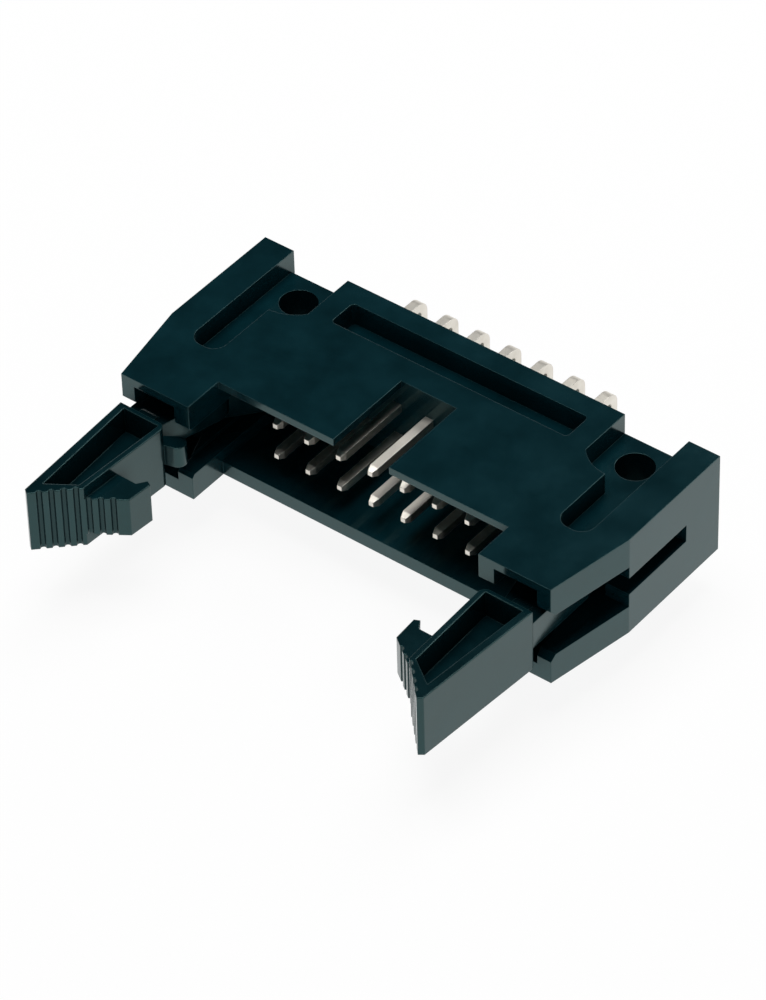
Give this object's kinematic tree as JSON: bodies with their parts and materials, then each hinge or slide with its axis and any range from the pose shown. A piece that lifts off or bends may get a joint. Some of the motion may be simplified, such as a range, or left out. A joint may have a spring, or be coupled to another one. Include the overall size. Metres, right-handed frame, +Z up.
{
  "type": "box header connector",
  "caption": "Right-angle shrouded box header with square contact pins, a polarising key slot and a pivoting ejector latch in each ear.",
  "frame": {"origin": "midway between the two mounting holes, on the flat underside of the housing that seats on the board", "axes": "+Z up off the board, +Y towards the soldered tails, mating side at -Y, +X along the contact rows"},
  "size_m": [0.0362, 0.0302, 0.0108],
  "materials": {
    "black_plastic": "smooth moulded gloss",
    "contact_metal": "bright tin plate over brass wire"
  },
  "bodies": {
    "header": {"housing": "black_plastic", "contact_lower_1": "contact_metal", "contact_lower_2": "contact_metal", "contact_lower_3": "contact_metal", "contact_lower_4": "contact_metal", "contact_lower_5": "contact_metal", "contact_lower_6": "contact_metal", "contact_lower_7": "contact_metal", "contact_upper_1": "contact_metal", "contact_upper_2": "contact_metal", "contact_upper_3": "contact_metal", "contact_upper_4": "contact_metal", "contact_upper_5": "contact_metal", "contact_upper_6": "contact_metal", "contact_upper_7": "contact_metal"},
    "left_ejector": {"latch_left": "black_plastic"},
    "right_ejector": {"latch_right": "black_plastic"}
  },
  "joints": [
    {"name": "left_latch_pivot", "type": "hinge", "parent": "header", "child": "left_ejector", "pos_m": [-0.01435, -0.00905, 0.0039], "axis": [0, 0, -1], "range_deg": [0, 35]},
    {"name": "right_latch_pivot", "type": "hinge", "parent": "header", "child": "right_ejector", "pos_m": [0.01435, -0.00905, 0.0039], "axis": [0, 0, 1], "range_deg": [0, 35]}
  ]
}
